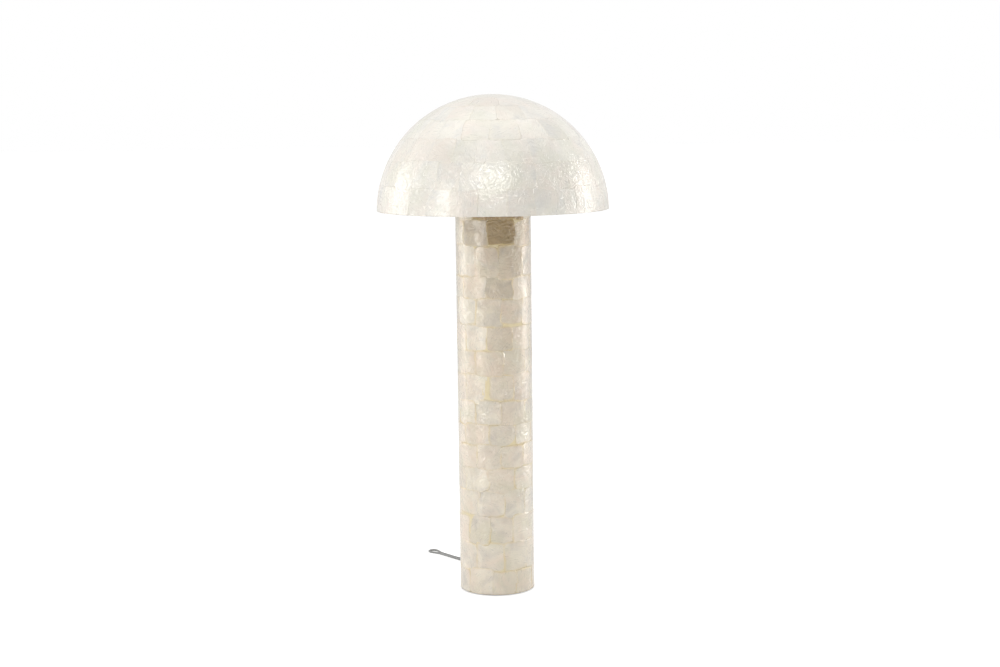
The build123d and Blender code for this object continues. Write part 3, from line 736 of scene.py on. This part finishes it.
def closed_turning(profile, segments, threads=None):
    """Points and faces turned about the Z axis, closed below and above.

    threads is (depth, low, high): a screw thread pressed into the wall between two heights, never
    standing out past the profile.
    """
    points, faces = turned_points(profile, segments)
    rows = len(profile)
    if threads:
        depth, low, high = threads
        for index, (x, y, z) in enumerate(points):
            if low < z < high:
                fade = min(1.0, (z - low) / THREAD_PITCH, (high - z) / THREAD_PITCH)
                share = 1 - fade * depth * (1 - thread_wave(x, y, z)) / 2 / math.hypot(x, y)
                points[index] = (x * share, y * share, z)
    faces.append(tuple(step * rows for step in reversed(range(segments))))
    faces.append(tuple(step * rows + rows - 1 for step in range(segments)))
    return points, faces


def joined(*parts):
    """Several (points, faces) in one, with the index of its part as each face's material."""
    points = []
    faces = []
    kinds = []
    for kind, (some_points, some_faces) in enumerate(parts):
        first = len(points)
        points += some_points
        faces += [tuple(first + index for index in face) for face in some_faces]
        kinds += [kind] * len(some_faces)
    return points, faces, kinds


def moved(part, middle, turn=None):
    """The same (points, faces) turned by a matrix and set at a new place."""
    points, faces = part
    turn = turn or Matrix.Identity(3)
    return [tuple(turn @ Vector(point) + middle) for point in points], faces


def detailed(name, parts, materials, node, body, slot):
    """One object of closed parts, each with a material of its own, in place of a CAD node."""
    points, faces, kinds = joined(*parts)
    piece = mesh_piece(name, points, faces, materials, kinds)
    piece.data.set_sharp_from_angle(angle=SHARP_EDGE)
    settle(piece, body, slot, node)


def felt_pad():
    """The pad under the foot, its cut edge a little fuzzy and rounded by use."""
    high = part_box("base_felt_pad")[1]
    flat = high.x - 20 * MM
    edge = high.x - 0.5 * MM
    bulge = high.x - 0.15 * MM
    rounding = 0.35 * MM
    profile = [(flat, 0), (edge, 0), (bulge, rounding), (high.x, high.z / 2)]
    profile += [(bulge, high.z - rounding), (edge, high.z), (flat, high.z)]
    points, faces = closed_turning(profile, 256)
    frayed = []
    for x, y, z in points:
        fray = 1 - 0.002 * (1 + noise.noise((900 * x, 900 * y, 700 * z)))
        frayed.append((x * fray, y * fray, z))
    detailed("base_felt", [(frayed, faces)], [felt], "base_felt_pad", "stand", "felt")


def strain_relief():
    """Bush through the wall, with a flange and a tapered spout cut by bending grooves."""
    low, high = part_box("cord_strain_relief")
    level = ((low + high) / 2).z
    flange = (high.z - low.z) / 2
    bore = 2.8 * MM
    neck = 5.7 * MM
    soft = 0.4 * MM
    chamfer = 0.7 * MM
    face = column_radius + 0.3 * MM
    spout = face + 2.5 * MM
    profile = [(bore, low.y), (neck, low.y), (neck, face), (flange - soft, face)]
    profile += [(flange, face + soft), (flange, spout - chamfer), (flange - chamfer, spout)]
    grooves = 6
    groove_depth = 0.75
    stretch = high.y - spout
    for groove in range(grooves):
        start = spout + stretch * (groove + 0.25) / (grooves + 0.5)
        for along, sunk in ((0, 0), (0.12, groove_depth), (0.45, groove_depth), (0.57, 0)):
            y = start + along * stretch / grooves
            wall = 5.4 - 1.7 * (y - spout) / stretch
            profile.append(((wall - sunk) * MM, y))
    profile += [(3.5 * MM, high.y - soft), (3.2 * MM, high.y), (bore, high.y), (bore, low.y)]
    points, faces = turned_points(profile, 48)
    points = [(x, z, y + level) for x, y, z in points]
    part = (points, [tuple(reversed(face)) for face in faces])
    detailed("cord_bush", [part], [grey_plastic], "cord_strain_relief", "stand", "grey_plastic")


def bulb_cap(side):
    """A bulb's rolled screw thread, with a dark insulator and a contact under it."""
    low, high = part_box(f"bulb_{side}_cap")
    middle = Vector(((low.x + high.x) / 2, (low.y + high.y) / 2, 0))
    radius = (high.x - low.x) / 2
    tip = low.z
    shoulder = (8.9 * MM, tip + 4 * MM)
    base = tip + 6 * MM
    cap = [shoulder, (radius - 0.5 * MM, tip + 5.7 * MM)]
    for row in range(THREAD_ROWS + 1):
        cap.append((radius, base + (high.z - base) * row / THREAD_ROWS))
    insulator = [(4.7 * MM, tip + 1.2 * MM), (7.2 * MM, tip + 2.6 * MM), shoulder]
    contact = [(1.5 * MM, tip), (3.6 * MM, tip + 0.2 * MM), (4.5 * MM, tip + 0.8 * MM)]
    contact.append((4.7 * MM, tip + 1.3 * MM))
    parts = [
        closed_turning(cap, THREAD_SEGMENTS, (0.8 * MM, base, high.z - 4 * MM)),
        closed_turning(insulator, 48),
        closed_turning(contact, 32),
    ]
    detailed(
        f"bulb_{side}_thread",
        [moved(part, middle) for part in parts],
        [cap_metal, bakelite, zinc],
        f"bulb_{side}_cap",
        f"bulb_{side}",
        "cap_metal",
    )


def holder_threads():
    """The holders' brass cups, their thread rolled outwards so that the caps go in."""
    node = "lamp_holder_screw_shells"
    low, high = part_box(node)
    radius = (high.y - low.y) / 2
    wall = 0.6 * MM
    thread_depth = 0.35 * MM
    floor = low.z + 2 * MM
    top = high.z
    lip = top - 0.3 * MM
    profile = [(radius, low.z + (top - low.z) * row / 12) for row in range(13)]
    profile += [(radius - wall / 2, top), (radius - wall, top - 0.1 * MM)]
    for row in range(THREAD_ROWS + 1):
        profile.append((radius - wall, lip - (lip - floor) * row / THREAD_ROWS))
    points, faces = closed_turning(profile, THREAD_SEGMENTS)
    for index, (x, y, z) in enumerate(points):
        inner = math.hypot(x, y) < radius - 0.75 * wall
        if inner and floor + THREAD_PITCH < z < top - THREAD_PITCH:
            out = 1 + thread_depth * (1 + thread_wave(x, y, z)) / 2 / radius
            points[index] = (x * out, y * out, z)
    reach = high.x - radius
    cups = [moved((points, faces), Vector((sign * reach, 0, 0))) for sign in (-1, 1)]
    detailed("holder_threads", [joined(*cups)[:2]], [brass], node, "stand", "brass")


def section(half_width, half_height, squareness):
    """A rounded cross-section, from an ellipse (squareness 2) to nearly a rectangle."""
    outline = []
    for step in range(SECTION_POINTS):
        angle = 2 * math.pi * (step + 0.5) / SECTION_POINTS
        across = math.cos(angle)
        up = math.sin(angle)
        reach = (abs(across) ** squareness + abs(up) ** squareness) ** (-1 / squareness)
        outline.append((half_width * reach * across, half_height * reach * up))
    return outline


def plug_grip(start, way):
    """The moulded plug: grooved neck, then a waisted grip with finger ribs.

    Its stations are in millimetres: along the plug, half width, half height, and squareness.
    """
    stations = [(0, 3.4, 3.4, 2), (0.4, 3.7, 3.7, 2)]
    for groove in range(5):
        for along, sunk in ((0, 0), (0.5, 0.8), (2.0, 0.8), (2.5, 0)):
            x = 2 + 4 * groove + along
            wall = 3.7 + 1.9 * x / 22 - sunk
            stations.append((x, wall, wall, 2))
    stations += [(22, 5.6, 5.6, 2), (22.2, 8.0, 6.2, 3), (23, 10.5, 7.2, 4), (25, 12.0, 7.7, 5)]
    stations.append((29, 12.4, 7.9, 6))
    ribs = 5
    for rib in range(ribs):
        waist = 1.3 * math.sin(math.pi * (rib + 0.5) / ribs)
        for along, sunk in ((0, 0), (0.8, 1), (2.0, 1), (2.8, 0)):
            wide, high = ((12.3, 7.8), (11.7, 7.3))[sunk]
            stations.append((32 + 4 * rib + along, wide - waist, high, 6))
    stations += [(53, 12.4, 7.9, 7), (57.3, 12.4, 7.9, 7), (58, 11.8, 7.3, 7)]
    points = []
    for x, half_width, half_height, squareness in stations:
        for y, z in section(half_width, half_height, squareness):
            points.append((x * MM, y * MM, z * MM))
    faces = rings_joined(0, len(stations), SECTION_POINTS)
    faces.append(tuple(range(SECTION_POINTS)))
    faces.append(tuple(reversed(range(len(points) - SECTION_POINTS, len(points)))))
    faces = [tuple(reversed(face)) for face in faces]
    up = Vector((0, 0, 1))
    turn = Matrix((way, up.cross(way), up)).transposed()
    part = moved((points, faces), start, turn)
    detailed("mains_plug_grip", [part], [grey_plastic], "plug_body", "stand", "grey_plastic")


def coil_strap(centre, angle, inner, outer, top):
    """The woven strap: a band closed round one side of the coil, with softened edges."""
    thickness = 0.8
    bend_radius = 2.4
    bend_steps = 8
    full, eased = 4.0, 3.7  # half the strap's width, inside it and at its two faces
    half_width = (outer - inner) / 2 + thickness
    half_height = top / 2
    across = Vector((math.cos(angle), math.sin(angle), 0))
    along = Vector((-math.sin(angle), math.cos(angle), 0))
    middle = centre + across * (inner + outer) / 2 + Vector((0, 0, half_height))
    edge = [(0.0, -eased), (0.15, -full), (thickness - 0.15, -full), (thickness, -eased)]
    edge += [(depth, -place) for depth, place in reversed(edge)]
    rim = []
    for corner in range(4):
        x = (half_width - bend_radius) * (1 if corner in (0, 3) else -1)
        z = (half_height - bend_radius) * (1 if corner < 2 else -1)
        for step in range(bend_steps + 1):
            bend = math.radians(90 * corner + 90 * step / bend_steps)
            rim.append((x, z, math.cos(bend), math.sin(bend)))
    points = []
    faces = []
    count = len(edge)
    for row, (x, z, cosine, sine) in enumerate(rim):
        for depth, place in edge:
            reach = bend_radius - depth
            point = middle + across * (x + reach * cosine)
            point += Vector((0, 0, z + reach * sine)) + along * place
            points.append(tuple(point * MM))
        after = (row + 1) % len(rim) * count
        here = row * count
        for step in range(count):
            following = (step + 1) % count
            faces.append((here + step, here + following, after + following, after + step))
    detailed("coil_strap", [(points, faces)], [tie_fabric], "cord_tie", "stand", "tie_fabric")


felt_pad()
strain_relief()
for side in ("left", "right"):
    bulb_cap(side)
holder_threads()

# ---------------------------------------------------------------- cords
# Routes in millimetres, as in the CAD source: from the strain relief to the foot switch, on to the
# coil, and from the coil to the plug
lead_route = [
    (0, 121.8, 22),
    (0, 147, 22),
    (-20, 174, 12),
    (-47, 199, 2.5),
    (-84, 236, 2.5),
    (-122.2, 282.3, 2.5),
    (-159.2, 327, 2.5),
    (-175.3, 334.4, 2.5),
    (-184.3, 345.3, 2.5),
    (-183.4, 354.5, 2.5),
    (-176.3, 360.5, 2.5),
    (-167, 359.6, 2.5),
    (-158, 348.7, 2.5),
    (-153.8, 331.5, 2.5),
    (-116.8, 286.8, 2.5),
    (-102.8, 269.8, 2.5),
    (-91.3, 255.9, 5),
    (-71.6, 259.4, 5),
]
plug_route_middle = [(-16.3, 356.8, 15.5), (-15.3, 377.8, 11.5), (0.6, 388.6, 8), (20.2, 382.7, 8)]
inner_route = [
    (0, 121.8, 22),
    (0, 50, 22),
    (0, 33, 66),
    (0, 30, 150),
    (7, 33, 330),
    (-5, 36, 520),
    (5, 40, 720),
    (0, 45, 900),
    (0, 45, 967),
]
SWITCH_LENGTH = 70
COIL_CENTRE = (28.3, 315)
COIL_LAYERS = 4
COIL_LAYER_TURNS = 2.25
COIL_PITCH = 5.55
COIL_LAYER_STEP = 5.6
COIL_START_ANGLE = math.radians(280)
COIL_LOW = 3.6
COIL_MIDDLE = 27  # middle radius of its turns
COIL_OUTER = COIL_MIDDLE + COIL_PITCH * COIL_LAYER_TURNS / 2
COIL_END_RUN = 5  # straight run at each end of the coil
EASE = 10  # straight run beyond it, and out of the switch
PLUG_EASE = 13
TIE_ANGLE = math.radians(22)
TIE_INSIDE = 3.1  # from the cord's middle line to the strap, inside and outside the coil
TIE_OUTSIDE = 2.8
COIL_TURNS = COIL_LAYERS * COIL_LAYER_TURNS + (COIL_LAYERS - 1) / 2
KNOTS_PER_TURN = 16
TINY = 1e-9  # keeps a rounded turn on its own layer


def coil_line(turn):
    """Radius and height of the coil's middle line after so many turns, in millimetres."""
    stretch = COIL_LAYER_TURNS + 0.5
    layer = min(int(turn / stretch + TINY), COIL_LAYERS - 1)
    along = turn - layer * stretch
    inward = layer % 2 == 0
    way = -1 if inward else 1
    start = COIL_OUTER if inward else COIL_OUTER - COIL_PITCH * COIL_LAYER_TURNS
    height = COIL_LOW + layer * COIL_LAYER_STEP
    if along <= COIL_LAYER_TURNS + TINY:
        return start + way * COIL_PITCH * along, height
    past = along - COIL_LAYER_TURNS
    turning = start + way * COIL_PITCH * COIL_LAYER_TURNS
    climb = COIL_LAYER_STEP * (1 - math.cos(2 * math.pi * past)) / 2
    return turning + way * COIL_PITCH * (past - 2 * past**2), height + climb


def coil_point(turn):
    radius, height = coil_line(turn)
    angle = COIL_START_ANGLE + 2 * math.pi * turn
    return Vector((*COIL_CENTRE, 0)) + Vector(polar(radius, angle, height))


def cord_piece(name, route, diameter, material, slot, *replaced):
    """A smooth cord: a NURBS line through the route's control points, given in millimetres."""
    curve = bpy.data.curves.new(name, "CURVE")
    curve.dimensions = "3D"
    spline = curve.splines.new("NURBS")
    spline.points.add(len(route) - 1)
    for knot, point in zip(spline.points, route):
        knot.co = (*(Vector(point) * MM), 1)
    spline.order_u = 3
    spline.use_endpoint_u = True
    curve.resolution_u = 8
    curve.bevel_depth = diameter / 2
    curve.bevel_resolution = 6
    curve.use_fill_caps = True
    curve.materials.append(material)
    piece = bpy.data.objects.new(name, curve)
    bpy.context.scene.collection.objects.link(piece)
    settle(piece, "stand", slot, *replaced)
    return piece


def bulb_wires():
    """The sleeved wires from the terminal block, round and up into each holder."""
    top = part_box("holder_wires")[1].z / MM
    low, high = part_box("terminal_block")
    level = low.z / MM + 6
    start = high.x / MM
    spread = 42
    for side, sign in (("right", 1), ("left", -1)):
        route = [
            (sign * start, 45, level),
            (sign * (start + 12), 45, level),
            (sign * (spread - 4), 27, level - 10),
            (sign * spread, 9, level - 16),
            (sign * spread, 0, level - 8),
            (sign * spread, 0, level + 4),
            (sign * (spread + 0.4), 0, top),
        ]
        name = f"holder_wire_{side}"
        cord_piece(name, route, WIRE_DIAMETER, wire_sleeve, "wire_sleeve", "holder_wires")


def cords():
    """Both free stretches of the cord, its run up the column, its plug and strap, the wires."""
    jacket = (CORD_DIAMETER, cord_jacket, "cord_jacket")
    switch_in = Vector(lead_route[-1])
    switch_way = (switch_in - Vector(lead_route[-2])).normalized()
    switch_out = switch_in + switch_way * SWITCH_LENGTH
    knots = int(KNOTS_PER_TURN * COIL_TURNS) + 1
    turns = [coil_point(index / KNOTS_PER_TURN) for index in range(knots)]
    bit = 0.001
    coil_in_way = (coil_point(bit) - coil_point(0)).normalized()
    coil_out_way = (coil_point(COIL_TURNS) - coil_point(COIL_TURNS - bit)).normalized()
    coil_in = turns[0] - coil_in_way * COIL_END_RUN
    coil_out = turns[-1] + coil_out_way * COIL_END_RUN
    onward = [switch_out, switch_out + switch_way * EASE, coil_in - coil_in_way * EASE, coil_in]
    onward += turns + [coil_out, coil_out + coil_out_way * PLUG_EASE] + plug_route_middle
    lead = cord_piece("mains_cord_to_switch", lead_route, *jacket, "cord_lead")
    stretches = ("cord_link", "cord_coil", "cord_plug_end")
    spare = cord_piece("mains_cord_to_plug", onward, *jacket, *stretches)
    cord_piece("mains_cord_inside", inner_route, *jacket, "cord_inside")
    plug_start = Vector(onward[-1])
    plug_grip(plug_start * MM, (plug_start - Vector(onward[-2])).normalized())
    turning = COIL_OUTER - COIL_PITCH * COIL_LAYER_TURNS
    inner = turning - COIL_PITCH / 8 - TIE_INSIDE
    outer = COIL_OUTER + COIL_PITCH / 8 + TIE_OUTSIDE
    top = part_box("cord_tie")[1].z / MM
    coil_strap(Vector((*COIL_CENTRE, 0)), TIE_ANGLE, inner, outer, top)
    bulb_wires()
    Vector(lead_route[0]) * MM


cords()


# ---------------------------------------------------------------- studio
def studio_world():
    """White for the camera; for light and gloss a bright room that is dim towards the front."""
    world = bpy.data.worlds.new("studio")
    bpy.context.scene.world = world
    world.use_nodes = True
    world.node_tree.nodes.clear()
    sky = Nodes(world.node_tree)
    back = sky.parts(sky.add("TexCoord").outputs["Generated"])[1]
    room = sky.span(back, -0.35, 0.25, 0.45, 1.0, "SMOOTHSTEP")
    room = sky.add("CombineColor", red=room, green=room, blue=room).outputs["Color"]
    seen = sky.add("Background", color=(1, 1, 1, 1))
    lighting = sky.add("Background", color=room, strength=1.0)
    gloss = sky.add("Background", color=room, strength=0.86)
    path = sky.add("LightPath").outputs
    mirrored = sky.blend(path["Is Glossy Ray"], lighting, gloss)
    direct = sky.math("MAXIMUM", path["Is Camera Ray"], path["Is Transmission Ray"])
    sky.add("OutputWorld", surface=sky.blend(direct, mirrored, seen).outputs["Shader"])


def softbox(name, azimuth, height, distance, width, tall, radiance):
    """A rectangular lamp aimed at the middle. Azimuth 0 is the camera's side, and 90 the right."""
    angle = math.radians(azimuth)
    place = Vector((distance * math.sin(angle), -distance * math.cos(angle), height))
    aim = Vector((0, 0, 0.75))
    lamp = bpy.data.lights.new(name, "AREA")
    lamp.shape = "RECTANGLE"
    lamp.size = width
    lamp.size_y = tall
    lamp.energy = radiance * math.pi * width * tall
    holder = bpy.data.objects.new(name, lamp)
    holder.location = place
    holder.rotation_euler = (aim - place).to_track_quat("-Z", "Y").to_euler()
    bpy.context.scene.collection.objects.link(holder)


def studio_floor():
    """A pale floor that shows as white for the camera and keeps the lamp's shadow."""
    half = 40.0
    points = [(-half, -half, 0), (half, -half, 0), (half, half, 0), (-half, half, 0)]
    ground = Surface("floor")
    grain = ground.noise(ground.position(), 3, 4)
    colour = ground.mix(grain, srgb(242, 242, 241), srgb(238, 238, 237))
    seen = ground.add("LightPath").outputs["Is Camera Ray"]
    ground.set(base_color=colour, roughness=0.8)
    ground.set(emission_color=(1, 1, 1, 1), emission_strength=ground.times(seen, 0.4))
    mesh_piece("floor", points, [(0, 1, 2, 3)], [ground.material])


def studio_camera():
    """The photograph's view: far in front, a little above the shade's rim, looking down a bit."""
    camera = bpy.data.cameras.new("camera")
    camera.sensor_width = 36
    camera.lens = 65.0
    place = Matrix.Translation((0.0137, -4.3955, 1.2134))
    pitch = Matrix.Rotation(math.radians(90 - 7.48), 4, "X")
    roll = Matrix.Rotation(math.radians(-0.7), 4, "Z")
    view = bpy.data.objects.new("camera", camera)
    view.matrix_world = place @ pitch @ roll
    bpy.context.scene.collection.objects.link(view)
    bpy.context.scene.camera = view


studio_world()
softbox("key_left", azimuth=-45, height=1.2, distance=3.2, width=0.25, tall=2.4, radiance=8.4)
softbox("side_left", azimuth=-104, height=1.1, distance=3.0, width=0.6, tall=2.4, radiance=2.8)
softbox("side_right", azimuth=104, height=1.1, distance=3.0, width=0.25, tall=2.4, radiance=9.4)
softbox("front_high", azimuth=-1, height=3.0, distance=3.2, width=1.5, tall=0.6, radiance=9.4)
softbox("overhead", azimuth=0, height=3.8, distance=0.2, width=3.0, tall=3.0, radiance=0.6)
studio_floor()
studio_camera()
bpy.context.scene.view_settings.view_transform = "Standard"
